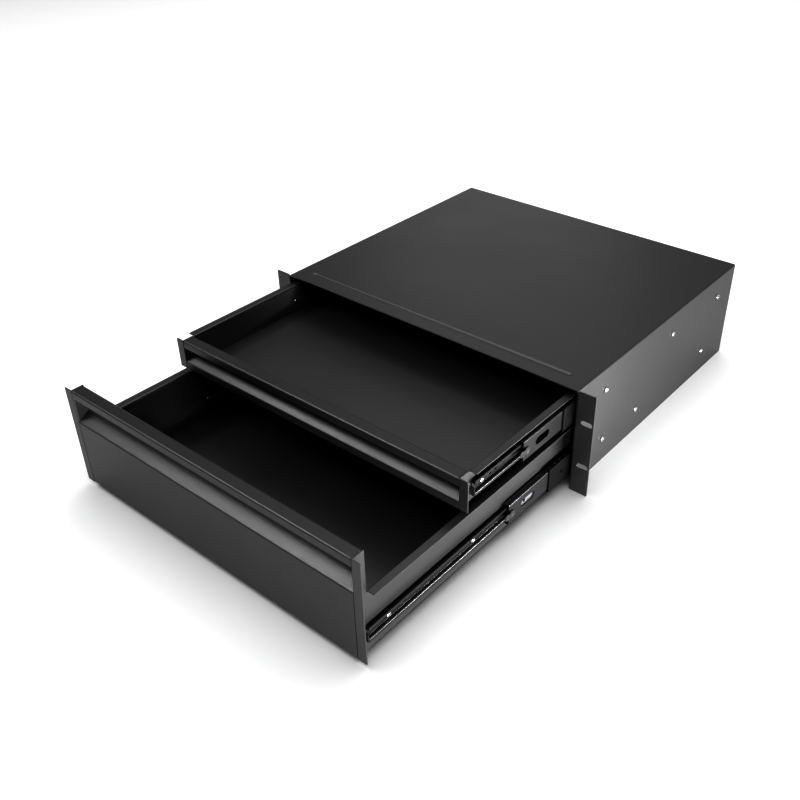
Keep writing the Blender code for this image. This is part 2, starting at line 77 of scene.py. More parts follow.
def softbox(name, place, aim, size, power):
    """A rectangular lamp, turned towards aim."""
    lamp = bpy.data.lights.new(name, "AREA")
    lamp.shape = "RECTANGLE"
    lamp.size, lamp.size_y = size
    lamp.energy = power
    item = placed(name, lamp)
    item.location = place
    item.rotation_euler = (Vector(aim) - Vector(place)).to_track_quat("-Z", "Y").to_euler()
    return item


paper_mesh = bpy.data.meshes.new("studio_paper")
paper_mesh.from_pydata([(x * paper_size / 2, y * paper_size / 2, 0) for x, y in
                        ((-1, -1), (1, -1), (1, 1), (-1, 1))], [], [(0, 1, 2, 3)])
paper = placed("studio_paper", paper_mesh)
white = bpy.data.materials.new("studio_paper_white")
white.use_nodes = True
paper_shader = white.node_tree.nodes["Principled BSDF"]
paper_shader.inputs["Base Color"].default_value = (0.92, 0.92, 0.92, 1)
paper_shader.inputs["Roughness"].default_value = 0.9
paper_shader.inputs["Specular IOR Level"].default_value = 0.1
paper_mesh.materials.append(white)

room = bpy.data.worlds.new("room")
room.use_nodes = True
room_light = room.node_tree.nodes["Background"]
room_light.inputs["Color"].default_value = (1, 1, 1, 1)
room_light.inputs["Strength"].default_value = 0.4
bpy.context.scene.world = room

softbox("ceiling_bounce", (0.0, 0.0, 3.5), (0, 0, 0), (5.0, 5.0), 186)
softbox("back_softbox", (0.0, 2.6, 3.0), (0, 0.1, 0), (3.0, 2.0), 10)
softbox("back_left_softbox", (-1.6, 2.4, 1.3), (0, 0.1, 0.1), (1.2, 0.8), 4)
off_paper = bpy.data.collections.new("kept_off_lamps_near_paper")
off_paper.objects.link(paper)
off_paper.collection_objects[0].light_linking.link_state = "EXCLUDE"
for name, place, aim, size, power in (
        ("left_front_softbox", (-1.25, -1.15, 1.85), (0.05, -0.3, 0.1), (0.9, 0.7), 30),
        ("case_side_strip", (0.6, 0.04, 0.045), (0.2, 0.04, 0.045), (0.3, 0.08), 11),
        ("drawer_side_strip", (0.6, -0.56, 0.045), (0.2, -0.56, 0.045), (0.3, 0.08), 15)):
    near_lamp = softbox(name, place, aim, size, power)
    near_lamp.light_linking.receiver_collection = off_paper


# Case shell: one steel sheet folded into a top, two sides and the two rack ears, with a long
# stiffening bead pressed into the top just behind the ears. Satin black powder coat all over.
case_low, case_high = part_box("case_shell")
case_sheet = 0.0015
case_width = 0.4384
case_corner = 0.0014
ear_corner = 0.0018
bead_half_length = 0.198
bead_half_width = 0.004
bead_flat = 0.0011
bead_depth = 0.0013
bead_setback = 0.0222
bead_end_margin = 0.002
bead_column_step, bead_columns = 0.0008, 14
bead_row_step, bead_side_rows = 0.0006, 8
front_row_setback, rear_row_setback = 0.008, 0.04
ear_slot_x = 0.23255
ear_slot_rise = 0.05715
ear_slot_length, ear_slot_height = 0.014, 0.007
ear_cut_depth = 0.004
sheet_edge = 0.00034
fold_steps = 8
merge_distance = 1e-6


def rounded(points, radius, steps):
    """The same outline with each inner corner turned on an arc, as a press brake leaves it."""
    path = [Vector(points[0])]
    for before, corner, after in zip(points, points[1:], points[2:]):
        corner = Vector(corner)
        back = (Vector(before) - corner).normalized()
        ahead = (Vector(after) - corner).normalized()
        half = back.angle(ahead) / 2
        reach = radius / math.tan(half)
        centre = corner + (back + ahead).normalized() * radius / math.sin(half)
        first = (corner + back * reach - centre).normalized()
        last = (corner + ahead * reach - centre).normalized()
        path += [centre + radius * first.slerp(last, step / steps) for step in range(steps + 1)]
    return path + [Vector(points[-1])]


def span(shape, rows):
    """Faces between rows of vertices that are the same length."""
    for row, after in zip(rows, rows[1:]):
        for a, b, c, d in zip(row, row[1:], after[1:], after):
            shape.faces.new((a, b, c, d))


def fold(shape, row, ahead, turn, radius, reach):
    """A flange: the sheet goes on past row, turns through a right angle and runs on flat."""
    ahead, turn = Vector(ahead), Vector(turn)
    rows = [row]
    for step in range(1, fold_steps + 1):
        angle = math.pi / 2 * step / fold_steps
        offset = ahead * radius * math.sin(angle) + turn * radius * (1 - math.cos(angle))
        rows.append([shape.verts.new(vertex.co + offset) for vertex in row])
    rows.append([shape.verts.new(vertex.co + turn * reach) for vertex in rows[-1]])
    span(shape, rows)
    return rows


def evaluated(item):
    """The item with its modifiers made part of its mesh."""
    bpy.context.view_layer.update()
    graph = bpy.context.evaluated_depsgraph_get()
    mesh = bpy.data.meshes.new_from_object(item.evaluated_get(graph), preserve_all_data_layers=True,
                                           depsgraph=graph)
    item.modifiers.clear()
    item.data = mesh
    return item


def smooth_bends(item, sharp=math.radians(32)):
    """Shades bends as curves and keeps flats flat."""
    item.data.shade_smooth()
    item.data.set_sharp_from_angle(angle=sharp)
    normals = item.modifiers.new("Flat normals", "WEIGHTED_NORMAL")
    normals.keep_sharp = True
    normals.weight = 80
    return evaluated(item)

def mesh_of(shape, name):
    """The plain mesh of a finished shape."""
    mesh = bpy.data.meshes.new(name)
    shape.to_mesh(mesh)
    shape.free()
    return mesh


def cut(item, mesh):
    """Takes a closed cutter's shape away from the item."""
    cutter = placed("cutter", mesh)
    change = item.modifiers.new("Cut", "BOOLEAN")
    change.operation = "DIFFERENCE"
    change.solver = "EXACT"
    change.object = cutter
    evaluated(item)
    bpy.data.objects.remove(cutter)


def sheet_piece(name, shape, stock, body, node, cuts=()):
    """Gives a bent sheet its stock's thickness, punches it, breaks its edges and puts it on its body."""
    thickness, material, slot, edge_width = stock
    bmesh.ops.remove_doubles(shape, verts=shape.verts, dist=merge_distance)
    bmesh.ops.recalc_face_normals(shape, faces=shape.faces)
    mesh = mesh_of(shape, name)
    mesh.materials.append(material)
    item = placed(name, mesh)
    wall = item.modifiers.new("Sheet", "SOLIDIFY")
    wall.thickness = thickness
    wall.offset = 0.0
    wall.use_even_offset = True
    evaluated(item)
    for cutter in cuts:
        cut(item, cutter)
    edge = item.modifiers.new("Broken edges", "BEVEL")
    edge.width = edge_width
    edge.segments = 2
    edge.limit_method = "ANGLE"
    edge.angle_limit = math.radians(50)
    evaluated(item)
    smooth_bends(item)
    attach(item, body)
    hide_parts(node)


def slot_cutter(centre, long_axis, through, size, depth, steps):
    """A slot with round ends, long on one level axis, cut as deep on both sides along another."""
    shape = bmesh.new()
    centre, long_axis, through, up = Vector(centre), Vector(long_axis), Vector(through), Vector((0, 0, 1))
    radius = size[1] / 2
    reach = size[0] / 2 - radius
    rim = []
    for end, first in ((1, -math.pi / 2), (-1, math.pi / 2)):
        for step in range(steps + 1):
            angle = first + math.pi * step / steps
            rim.append(shape.verts.new(centre - through * depth + up * radius * math.sin(angle)
                                       + long_axis * (end * reach + radius * math.cos(angle))))
    face = shape.faces.new(rim)
    drawn = bmesh.ops.extrude_face_region(shape, geom=[face], use_keep_orig=True)
    moved = [item for item in drawn["geom"] if isinstance(item, bmesh.types.BMVert)]
    bmesh.ops.translate(shape, vec=through * 2 * depth, verts=moved)
    bmesh.ops.recalc_face_normals(shape, faces=shape.faces)
    return mesh_of(shape, "slot")


def new_finish(name):
    """An empty finish: the material, its node tree and its shader."""
    finish = bpy.data.materials.new(name)
    finish.use_nodes = True
    return finish, finish.node_tree, finish.node_tree.nodes["Principled BSDF"]


def noise(tree, scale, detail=2.0, roughness=0.5, stretch=(1.0, 1.0, 1.0)):
    """Noise that stays with the object."""
    place = tree.nodes.new("ShaderNodeTexCoord")
    along = tree.nodes.new("ShaderNodeMapping")
    along.inputs["Scale"].default_value = stretch
    texture = tree.nodes.new("ShaderNodeTexNoise")
    texture.inputs["Scale"].default_value = scale
    texture.inputs["Detail"].default_value = detail
    texture.inputs["Roughness"].default_value = roughness
    tree.links.new(place.outputs["Object"], along.inputs["Vector"])
    tree.links.new(along.outputs["Vector"], texture.inputs["Vector"])
    return texture.outputs["Fac"]


def vary_colour(tree, shader, pattern, dark, light):
    colour = tree.nodes.new("ShaderNodeMix")
    colour.data_type = "RGBA"
    colour.inputs["A"].default_value = (*dark, 1)
    colour.inputs["B"].default_value = (*light, 1)
    tree.links.new(pattern, colour.inputs["Factor"])
    tree.links.new(colour.outputs["Result"], shader.inputs["Base Color"])


def vary_roughness(tree, shader, pattern, low, high, pattern_range=(0.0, 1.0)):
    gloss = tree.nodes.new("ShaderNodeMapRange")
    gloss.inputs["From Min"].default_value, gloss.inputs["From Max"].default_value = pattern_range
    gloss.inputs["To Min"].default_value, gloss.inputs["To Max"].default_value = low, high
    tree.links.new(pattern, gloss.inputs["Value"])
    tree.links.new(gloss.outputs["Result"], shader.inputs["Roughness"])


def bump(tree, shader, pattern, strength, distance):
    """Relief on the shader, laid over any relief it already has."""
    relief = tree.nodes.new("ShaderNodeBump")
    relief.inputs["Strength"].default_value = strength
    relief.inputs["Distance"].default_value = distance
    tree.links.new(pattern, relief.inputs["Height"])
    for link in shader.inputs["Normal"].links:
        tree.links.new(link.from_socket, relief.inputs["Normal"])
    tree.links.new(relief.outputs["Normal"], shader.inputs["Normal"])


def powder_coat(name, shade, shine, grain):
    """Fine-grained satin powder: small beads of cured powder over a soft ripple in the film."""
    paint, tree, shader = new_finish(name)
    shader.inputs["IOR"].default_value = 1.5
    shader.inputs["Specular IOR Level"].default_value = shine
    beads = noise(tree, 1000.0, 3.0, 0.65)
    vary_colour(tree, shader, beads, (shade * 0.72, shade * 0.72, shade * 0.75),
                (shade * 1.28, shade * 1.28, shade * 1.31))
    vary_roughness(tree, shader, noise(tree, 9.0, 4.0), 0.365, 0.405, (0.3, 0.7))
    bump(tree, shader, noise(tree, 220.0), 0.5, 0.0001)
    bump(tree, shader, beads, 0.6, grain)
    return paint


case_paint = powder_coat("case_powder_coat", 0.012, 1.0, 0.0001)
case_stock = (case_sheet, case_paint, "case_powder_coat", sheet_edge)

shape = bmesh.new()
wall_x = case_width / 2 - case_sheet / 2
roof_z = case_high.z - case_sheet / 2
bead_y = case_low.y + bead_setback
end_columns = [bead_half_length + bead_end_margin - step * bead_column_step for step in range(bead_columns)]
corner = rounded([(wall_x, 0, 0), (wall_x, 0, roof_z), (0, 0, roof_z)], case_corner, fold_steps)[:-1]
section = corner + [Vector((x, 0, roof_z)) for x in end_columns]
section += [Vector((-point.x, 0, point.z)) for point in reversed(section)]
bead_rows = [bead_y + step * bead_row_step for step in range(-bead_side_rows, bead_side_rows + 1)]
fold_y = case_low.y + case_sheet / 2 + ear_corner
rows_at = [fold_y, case_low.y + front_row_setback, *bead_rows,
           case_low.y + rear_row_setback, case_high.y]


def bead_drop(x, y):
    """How far the bead presses the top sheet down at a point."""
    along = min(max(x, bead_half_width - bead_half_length), bead_half_length - bead_half_width)
    away = math.hypot(x - along, y - bead_y)
    share = min(max((bead_half_width - away) / (bead_half_width - bead_flat), 0), 1)
    return bead_depth * share * share * (3 - 2 * share)


rows = [[shape.verts.new((p.x, y, p.z - (bead_drop(p.x, y) if p.z > roof_z - merge_distance else 0)))
         for p in section] for y in rows_at]
span(shape, rows)
brow = [shape.verts.new((vertex.co.x, case_low.y, vertex.co.z)) for vertex in rows[0][1:-1]]
span(shape, [brow, rows[0][1:-1]])
for pair, side in ((rows[0][:2], 1), (rows[0][-2:], -1)):
    flange = fold(shape, pair, (0, -1, 0), (side, 0, 0), ear_corner, case_high.x - wall_x - ear_corner)
    pick = pair.index(max(pair, key=lambda vertex: vertex.co.z))
    inner, outer = flange[-2][pick], flange[-1][pick]
    raised = [shape.verts.new((vertex.co.x, vertex.co.y, case_high.z)) for vertex in (inner, outer)]
    shape.faces.new((inner, outer, raised[1], raised[0]))
middle_z = (case_low.z + case_high.z) / 2
ear_slots = [slot_cutter((side * ear_slot_x, case_low.y, middle_z + step * ear_slot_rise), (1, 0, 0),
                         (0, 1, 0), (ear_slot_length, ear_slot_height), ear_cut_depth, 10)
             for side in (1, -1) for step in (0.5, -0.5)]
sheet_piece("case_shell_sheet", shape, case_stock, "case", "case_shell", ear_slots)

# Rear panel: a plain sheet closing the back, its top and foot turned forward, spot-welded inside
# the shell. The same black powder coat.
panel_low, panel_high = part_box("rear_panel")
panel_y = panel_high.y - case_sheet / 2


def drawn_across(path, low, high):
    """A sheet with the same section all the way from one side to the other."""
    shape = bmesh.new()
    span(shape, [[shape.verts.new((x, p.y, p.z)) for p in path] for x in (low.x, high.x)])
    return shape


foot_z, head_z = panel_low.z + case_sheet / 2, panel_high.z - case_sheet / 2
path = rounded([(0, panel_low.y, foot_z), (0, panel_y, foot_z), (0, panel_y, head_z),
                (0, panel_low.y, head_z)], case_corner, fold_steps)
sheet_piece("rear_panel_sheet", drawn_across(path, panel_low, panel_high), case_stock, "case", "rear_panel")

# Drawers: each is a bent front, a tray for floor and back, and two sides with a lip over the slide,
# all of thinner sheet. The lower drawer's front is as tall as the case and hides the upper one's.
drawer_sheet = 0.0012
drawer_corner = 0.0018
drawer_fold = 0.0009
pull_lip = 0.0095
slope_rise = 0.0088
tray_turn_up = 0.006
drawer_side_x = 0.205
lip_reach = 0.0083
strip_reach = 0.0102
cap_depth = 0.0155
bend_height = {"lower": 0.089, "upper": 0.095}
drawer_paint = powder_coat("drawer_powder_coat", 0.012, 1.0, 0.0001)
# The fronts: a slightly darker, less shiny copy of the drawer paint as painted shade, with a coarser grain.
front_paint_painted_shade = powder_coat("front_powder_coat", 0.011, 0.85, 0.00022)
drawer_stock = (drawer_sheet, drawer_paint, "drawer_powder_coat", sheet_edge)
front_stock = (drawer_sheet, front_paint_painted_shade, "front_powder_coat", sheet_edge)

for level in ("lower", "upper"):
    body = level + "_drawer"
    half = drawer_sheet / 2
    front_low, front_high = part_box(body + "_front")
    face_y, back_y = front_low.y + half, front_high.y - half
    cap_z, bend_z = front_high.z - half, bend_height[level]
    path = rounded([(0, face_y, front_high.z - pull_lip), (0, face_y, cap_z), (0, back_y, cap_z),
                    (0, back_y, bend_z + slope_rise), (0, face_y, bend_z), (0, face_y, front_low.z)],
                   drawer_corner, fold_steps)
    sheet_piece(body + "_front_sheet", drawn_across(path, front_low, front_high), front_stock, body,
                body + "_front")

    tray_low, tray_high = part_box(body + "_tray")
    floor_z = tray_low.z + half
    path = rounded([(0, tray_low.y + half, tray_low.z + tray_turn_up), (0, tray_low.y + half, floor_z),
                    (0, tray_high.y - half, floor_z), (0, tray_high.y - half, tray_high.z)],
                   drawer_fold, fold_steps)
    sheet_piece(body + "_tray_sheet", drawn_across(path, tray_low, tray_high), drawer_stock, body,
                body + "_tray")

    for label, side in (("right", 1), ("left", -1)):
        node = f"{body}_{label}_side"
        side_low, side_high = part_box(node)
        wall = side * (drawer_side_x - half)
        start = side_low.y + half + drawer_fold
        post_y = side_low.y + cap_depth
        lip_start = tray_high.z + half - drawer_fold
        shape = bmesh.new()
        post = [[shape.verts.new((wall, y, z)) for z in (side_low.z, tray_low.z, lip_start, side_high.z)]
                for y in (start, post_y)]
        after = [shape.verts.new((wall, side_high.y, z)) for z in (tray_low.z, lip_start)]
        span(shape, post)
        span(shape, [post[1][1:3], after])
        fold(shape, post[0], (0, -1, 0), (side, 0, 0), drawer_fold, strip_reach + half - drawer_fold)
        lip = [shape.verts.new((wall, post_y + drawer_sheet, lip_start)), after[1]]
        fold(shape, lip, (0, 0, 1), (side, 0, 0), drawer_fold, lip_reach + half - drawer_fold)
        sheet_piece(node + "_sheet", shape, drawer_stock, body, node)

# Ball-bearing slides: four pairs of rolled steel channels nested in each other, semi-gloss black.
# The outer one is screwed to the case, the middle one floats, and the inner one is screwed to the drawer.
slide_steel = 0.0011
slide_edge = 0.00015
outer_bend, middle_bend, inner_bend = 0.0013, 0.0012, 0.0009
outer_hook_reach, outer_hook_drop = 0.0012, 0.0022
middle_hook_reach, middle_hook_drop = 0.0016, 0.0006
window_start, window_length, window_height = 0.022, 0.025, 0.009
far_window_setback, far_window_length = 0.060, 0.014
end_notch_radius, end_notch_setback = 0.0054, 0.0006
member_hole_radius = 0.0018
member_screw_holes = {"lower": (0.030, 0.158), "upper": (0.015, 0.160)}
spare_holes = (0.015, 0.024)
web_cut_depth = 0.002
flare_height = 0.0034
end_tab_top = 0.0012
slide_places = [(level, label, side) for level in ("lower", "upper")
                for label, side in (("right", 1), ("left", -1))]


def slide_black(name, shade, shine, gloss_from, gloss_to):
    """Thin black electrocoat over rolled steel: smooth, glossier than powder, faintly drawn along it."""
    steel, tree, shader = new_finish(name)
    shader.inputs["Base Color"].default_value = (shade, shade, shade * 1.06, 1)
    shader.inputs["Specular IOR Level"].default_value = shine
    drawn = noise(tree, 1400.0, 3.0, stretch=(1.0, 0.02, 1.0))
    vary_roughness(tree, shader, drawn, gloss_from, gloss_to)
    bump(tree, shader, drawn, 0.25, 0.00002)
    return steel


slide_finish = slide_black("black_slide_steel", 0.008, 0.5, 0.28, 0.42)
slide_stock = (slide_steel, slide_finish, "black_slide_steel", slide_edge)


def extent(node):
    """A slide piece's box: its ends, near and far distance from the middle of the unit, and heights."""
    low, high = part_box(node)
    near, far = sorted((abs(low.x), abs(high.x)))
    return low.y, high.y, near, far, (low.z + high.z) / 2, (high.z - low.z) / 2


def member(side, points, y_span, radius):
    """A rolled channel: its section, in distance out from the drawer and height, drawn along Y."""
    shape = bmesh.new()
    path = rounded([(x, 0, z) for x, z in points], radius, 5)
    span(shape, [[shape.verts.new((side * p.x, y, p.z)) for p in path] for y in y_span])
    return shape


def mirrored(upper, centre):
    """A section that is the same below its middle as above it."""
    return [(x, centre + z) for x, z in upper] + [(x, centre - z) for x, z in reversed(upper)]


def rod_cutter(centre, radius, depth, segments=24):
    """A round hole along X, through a web."""
    shape = bmesh.new()
    bmesh.ops.create_cone(shape, cap_ends=True, segments=segments, radius1=radius, radius2=radius,
                          depth=depth)
    turn = Vector((0, 0, 1)).rotation_difference(Vector((1, 0, 0))).to_matrix()
    bmesh.ops.rotate(shape, matrix=turn, verts=shape.verts)
    bmesh.ops.translate(shape, vec=centre, verts=shape.verts)
    return mesh_of(shape, "hole")


def window_cutter(side, web, start, length, centre):
    """A window with round ends, long in Y, through a web that faces X."""
    return slot_cutter((side * web, start + length / 2, centre), (0, 1, 0), (1, 0, 0),
                       (length, window_height), web_cut_depth, 8)


for level, label, side in slide_places:
    name = f"{level}_{label}_slide"
    front, back, lip, far, centre, half_height = extent(name + "_outer")
    web, rise = far - slide_steel / 2, half_height - slide_steel / 2
    section = mirrored([(lip, rise - outer_hook_drop), (lip + outer_hook_reach, rise), (web, rise)], centre)
    sheet_piece(name + "_outer_channel", member(side, section, (front, back), outer_bend), slide_stock,
                "case", name + "_outer")

    front, back, lip, far, centre, half_height = extent(name + "_middle")
    web, rise = far - slide_steel / 2, half_height - slide_steel / 2
    section = mirrored([(lip, rise - middle_hook_drop), (lip + middle_hook_reach, rise), (web, rise)], centre)
    cuts = [window_cutter(side, web, front + window_start, window_length, centre),
            rod_cutter((side * web, front + end_notch_setback, centre), end_notch_radius, 2 * web_cut_depth),
            window_cutter(side, web, back - far_window_setback, far_window_length, centre)]
    sheet_piece(name + "_middle_channel", member(side, section, (front, back), middle_bend), slide_stock,
                f"{level}_{label}_middle", name + "_middle", cuts)

    front, back, near, far, centre, rise = extent(name + "_inner")
    web, flare = near + slide_steel / 2, far - slide_steel / 2
    race = rise - flare_height
    section = mirrored([(flare, rise), (flare, race), (web, race)], centre)
    holes = [rod_cutter((side * web, front + place + step, centre), member_hole_radius, 2 * web_cut_depth)
             for place in member_screw_holes[level] for step in spare_holes]
    sheet_piece(name + "_inner_channel", member(side, section, (front, back), inner_bend), slide_stock,
                level + "_drawer", name + "_inner", holes)
    shape = bmesh.new()
    span(shape, [[shape.verts.new((side * x, front - slide_steel / 2, z)) for x in (web, flare)]
                 for z in (centre - rise, centre + end_tab_top)])
    sheet_piece(name + "_end_tab", shape, slide_stock, level + "_drawer", name + "_inner")

# Ball cages: a thin strip bent round each race, black at the outer one and zinc-plated at the inner
# one, that keeps the steel balls apart. The outer strip and its balls are darker and duller than the
# slide steel, as painted shade for the dim mouth of the case. The balls are pressed into its pockets
# and roll in the races.
cage_steel = 0.0005
cage_bend = 0.0009
cage_edge = 0.00008
outer_ball_radius, inner_ball_radius = 0.0014, 0.00115
ball_seat = 0.0002
balls_in_a_row = 10
pocket_radius = 0.0020
pocket_cut_depth = 0.003


def zinc_plate(name, tint, roughness, smear):
    """Bright zinc: pale grey metal with a faint cloudy spread in its gloss."""
    zinc, tree, shader = new_finish(name)
    shader.inputs["Metallic"].default_value = 1.0
    cloud = noise(tree, smear, 4.0)
    vary_colour(tree, shader, cloud, [part * 0.82 for part in tint], tint)
    vary_roughness(tree, shader, cloud, roughness - 0.08, roughness + 0.08)
    return zinc


# Outer cage finish: black, and made darker and duller than the slide steel as painted shade inside the case
# mouth.
cage_black_painted_shade = slide_black("black_cage_strip_painted_shade", 0.002, 0.15, 0.5, 0.6)
cage_zinc = zinc_plate("zinc_cage_plate", (0.80, 0.81, 0.83), 0.30, 260.0)


def new_tree(name, sizes):
    """An empty node tree with named inputs and one mesh output."""
    tree = bpy.data.node_groups.new(name, "GeometryNodeTree")
    tree.interface.new_socket(name="Geometry", in_out="OUTPUT", socket_type="NodeSocketGeometry")
    for label, kind in sizes.items():
        tree.interface.new_socket(name=label, in_out="INPUT", socket_type="NodeSocket" + kind)
    return tree, tree.nodes.new("NodeGroupInput"), tree.nodes.new("NodeGroupOutput")


def close_tree(tree, given, taken, instances):
    """Ends a tree in real geometry with its finish on."""
    real = tree.nodes.new("GeometryNodeRealizeInstances")
    finish = tree.nodes.new("GeometryNodeSetMaterial")
    tree.links.new(instances, real.inputs["Geometry"])
    tree.links.new(real.outputs["Geometry"], finish.inputs["Geometry"])
    tree.links.new(given.outputs["Finish"], finish.inputs["Material"])
    tree.links.new(finish.outputs["Geometry"], taken.inputs["Geometry"])


def made_by(name, tree, points, values):
    """The plain mesh that a tree makes from points and its named inputs."""
    mesh = bpy.data.meshes.new(name)
    mesh.from_pydata([tuple(point) for point in points], [], [])
    item = placed(name, mesh)
    maker = item.modifiers.new("Maker", "NODES")
    maker.node_group = tree
    for socket in tree.interface.items_tree:
        if socket.in_out == "INPUT" and socket.name in values:
            maker[socket.identifier] = values[socket.name]
    return evaluated(item)


ball_tree, given, taken = new_tree("ball_rows", {"Geometry": "Geometry", "Ball Radius": "Float",
                                                 "Balls in a Row": "Int", "Step": "Float",
                                                 "Finish": "Material"})
row = ball_tree.nodes.new("GeometryNodeMeshLine")
step = ball_tree.nodes.new("ShaderNodeCombineXYZ")
ball = ball_tree.nodes.new("GeometryNodeMeshUVSphere")
ball.inputs["Segments"].default_value = 16
ball.inputs["Rings"].default_value = 10
lay_rows = ball_tree.nodes.new("GeometryNodeInstanceOnPoints")
real_rows = ball_tree.nodes.new("GeometryNodeRealizeInstances")
lay_balls = ball_tree.nodes.new("GeometryNodeInstanceOnPoints")
round_off = ball_tree.nodes.new("GeometryNodeSetShadeSmooth")
ball_tree.links.new(given.outputs["Balls in a Row"], row.inputs["Count"])
ball_tree.links.new(given.outputs["Step"], step.inputs["Y"])
ball_tree.links.new(step.outputs["Vector"], row.inputs["Offset"])
ball_tree.links.new(given.outputs["Geometry"], lay_rows.inputs["Points"])
ball_tree.links.new(row.outputs["Mesh"], lay_rows.inputs["Instance"])
ball_tree.links.new(lay_rows.outputs["Instances"], real_rows.inputs["Geometry"])
ball_tree.links.new(real_rows.outputs["Geometry"], lay_balls.inputs["Points"])
ball_tree.links.new(given.outputs["Ball Radius"], ball.inputs["Radius"])
ball_tree.links.new(ball.outputs["Mesh"], round_off.inputs["Geometry"])
ball_tree.links.new(round_off.outputs["Geometry"], lay_balls.inputs["Instance"])
close_tree(ball_tree, given, taken, lay_balls.outputs["Instances"])

for level, label, side in slide_places:
    # The outer cages and their balls take the finish that carries painted shade.
    for kind, radius, strip_finish, slot in (
            ("outer", outer_ball_radius, cage_black_painted_shade, "black_slide_steel"),
            ("inner", inner_ball_radius, cage_zinc, "zinc_plate")):
        node = f"{level}_{label}_slide_{kind}_cage"
        body = f"{level}_{label}_{kind}_cage"
        front, back, lip, far, centre, half_height = extent(node)
        web, race = far - cage_steel / 2, half_height - radius
        shape = member(side, mirrored([(lip, race), (web, race)], centre), (front, back), cage_bend)
        pitch = (back - front) / balls_in_a_row
        pockets = [rod_cutter((side * web, front + (number + 0.5) * pitch, centre), pocket_radius,
                              pocket_cut_depth, 16) for number in range(2, balls_in_a_row, 3)]
        sheet_piece(node + "_strip", shape, (cage_steel, strip_finish, slot, cage_edge), body, node, pockets)
        starts = [(side * (lip + radius + ball_seat), front + pitch / 2, centre + turn * race)
                  for turn in (1, -1)]
        balls = made_by(node + "_balls", ball_tree, starts,
                        {"Ball Radius": radius, "Balls in a Row": balls_in_a_row, "Step": pitch,
                         "Finish": strip_finish})
        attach(balls, body)
        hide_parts(node)

# Screws: zinc-plated pan heads with a cross recess. Three hold each outer channel to the case side and
# two hold each inner channel to the drawer, where their points show inside it.
case_head_radius, case_head_height, case_shank_radius, case_shank_length = 0.0035, 0.0018, 0.0019, 0.0034
member_head_radius, member_head_height = 0.003, 0.0016
member_shank_radius, member_shank_length = 0.0017, 0.0044
head_round = 0.0001
recess_reach, recess_floor_share, recess_mouth_share = 0.62, 0.55, 1.05
recess_over = 0.0002
recess_half_width = 0.00055
recess_depth = 0.0013
thread_pitch = 0.0007
thread_depth = 0.00022


def lathe(profile, segments):
    """A closed turned shape about X from a profile of distance along X and radius."""
    shape = bmesh.new()
    rings = []
    for x, radius in profile:
        if radius == 0:
            rings.append([shape.verts.new((x, 0, 0))])
        else:
            rings.append([shape.verts.new((x, radius * math.cos(turn), radius * math.sin(turn)))
                          for turn in (2 * math.pi * step / segments for step in range(segments))])
    for ring, after in zip(rings, rings[1:]):
        for step in range(segments):
            ahead = (step + 1) % segments
            corners = [ring[step % len(ring)], ring[ahead % len(ring)],
                       after[ahead % len(after)], after[step % len(after)]]
            shape.faces.new(list(dict.fromkeys(corners)))
    bmesh.ops.recalc_face_normals(shape, faces=shape.faces)
    return shape


def screw(name, head_radius, head_height, shank_radius, shank_length):
    """One pan-head screw, its seat at the origin and its head towards +X."""
    profile = [(-shank_length, 0), (-shank_length, shank_radius - 2 * thread_depth)]
    for number in range(int(shank_length / thread_pitch)):
        start = -shank_length + number * thread_pitch
        profile += [(start + thread_pitch * 0.25, shank_radius - thread_depth),
                    (start + thread_pitch * 0.75, shank_radius)]
    profile += [(-head_round, shank_radius - thread_depth), (0, head_radius - head_round),
                (head_round, head_radius)]
    for step in range(7):
        angle = math.pi / 2 * step / 6
        profile.append((head_height * (0.35 + 0.65 * math.sin(angle)),
                        head_radius * (0.55 + 0.45 * math.cos(angle))))
    profile.append((head_height, 0))
    item = placed(name, mesh_of(lathe(profile, 24), name))
    recess = bmesh.new()
    reach, arm = head_radius * recess_reach, recess_half_width
    outline = []
    for quarter in range(4):
        turn = Matrix.Rotation(quarter * math.pi / 2, 3, "X")
        outline += [turn @ Vector((0, *point)) for point in ((reach, -arm), (reach, arm), (arm, arm))]
    floor, mouth = ([recess.verts.new(point * share + Vector((height, 0, 0))) for point in outline]
                    for share, height in ((recess_floor_share, head_height - recess_depth),
                                          (recess_mouth_share, head_height + recess_over)))
    span(recess, [floor + floor[:1], mouth + mouth[:1]])
    recess.faces.new(floor)
    recess.faces.new(mouth)
    bmesh.ops.recalc_face_normals(recess, faces=recess.faces)
    cut(item, mesh_of(recess, "recess"))
    item.data.shade_smooth()
    item.data.set_sharp_from_angle(angle=math.radians(35))
    return item


screw_tree, given, taken = new_tree("screws", {"Geometry": "Geometry", "Screw": "Object", "Side": "Vector",
                                               "Seed": "Int", "Finish": "Material"})
pattern = screw_tree.nodes.new("GeometryNodeObjectInfo")
spin = screw_tree.nodes.new("FunctionNodeRandomValue")
spin.data_type = "FLOAT"
spin.inputs[3].default_value = 2 * math.pi
face_out = screw_tree.nodes.new("FunctionNodeAlignRotationToVector")
face_out.axis = "X"
turned = screw_tree.nodes.new("FunctionNodeAxisAngleToRotation")
turned.inputs["Axis"].default_value = (1, 0, 0)
both = screw_tree.nodes.new("FunctionNodeRotateRotation")
both.rotation_space = "LOCAL"
set_screws = screw_tree.nodes.new("GeometryNodeInstanceOnPoints")
screw_tree.links.new(given.outputs["Geometry"], set_screws.inputs["Points"])
screw_tree.links.new(given.outputs["Screw"], pattern.inputs["Object"])
screw_tree.links.new(pattern.outputs["Geometry"], set_screws.inputs["Instance"])
screw_tree.links.new(given.outputs["Seed"], spin.inputs["Seed"])
screw_tree.links.new(given.outputs["Side"], face_out.inputs["Vector"])
screw_tree.links.new(face_out.outputs["Rotation"], both.inputs["Rotation"])
screw_tree.links.new(spin.outputs[1], turned.inputs["Angle"])
screw_tree.links.new(turned.outputs["Rotation"], both.inputs["Rotate By"])
screw_tree.links.new(both.outputs["Rotation"], set_screws.inputs["Rotation"])
close_tree(screw_tree, given, taken, set_screws.outputs["Instances"])

